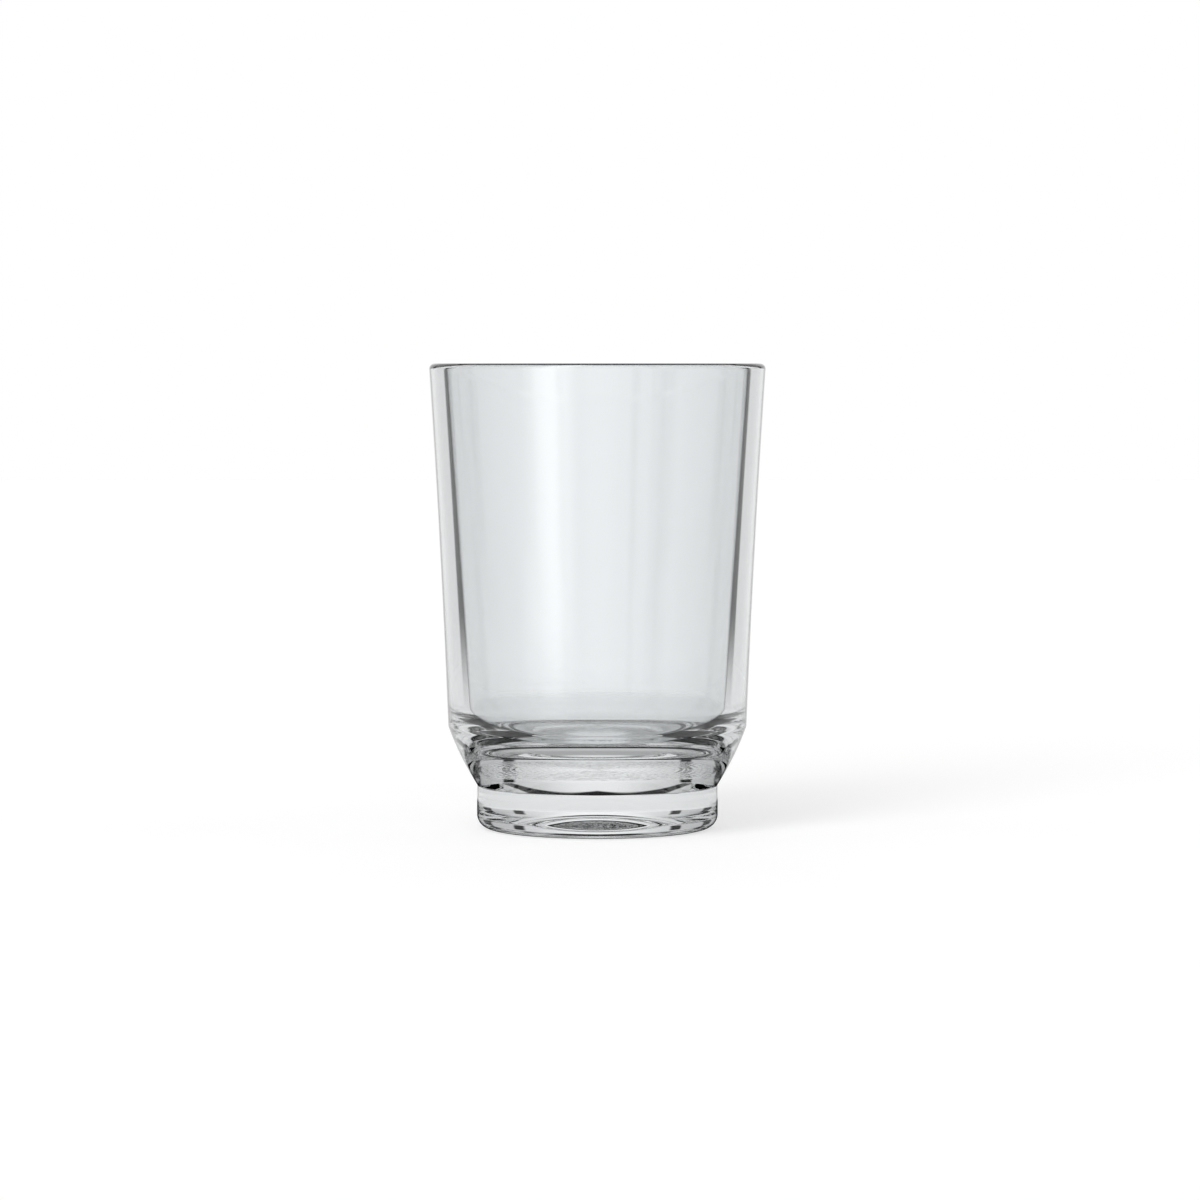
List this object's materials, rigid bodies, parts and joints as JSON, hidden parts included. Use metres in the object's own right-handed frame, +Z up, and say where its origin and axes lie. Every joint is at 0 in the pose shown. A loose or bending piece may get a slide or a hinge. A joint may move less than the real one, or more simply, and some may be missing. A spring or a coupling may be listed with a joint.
{
  "type": "tumbler",
  "caption": "Clear pressed-glass tumbler with a tapering round cup, a thick floor and a narrower foot under a sloping shoulder.",
  "frame": {"origin": "on the glass's axis, at the height of the flat ring that it stands on", "axes": "+Z up along the glass's axis, from the foot to the rim; the glass is round, so X and Y are any two level directions"},
  "size_m": [0.0798, 0.0798, 0.1105],
  "materials": {
    "clear_glass": "clear soda-lime glass, pressed and fire-polished to a gloss, with a finely stippled standing ring"
  },
  "bodies": {
    "root": {"glass_body": "clear_glass"}
  },
  "joints": []
}
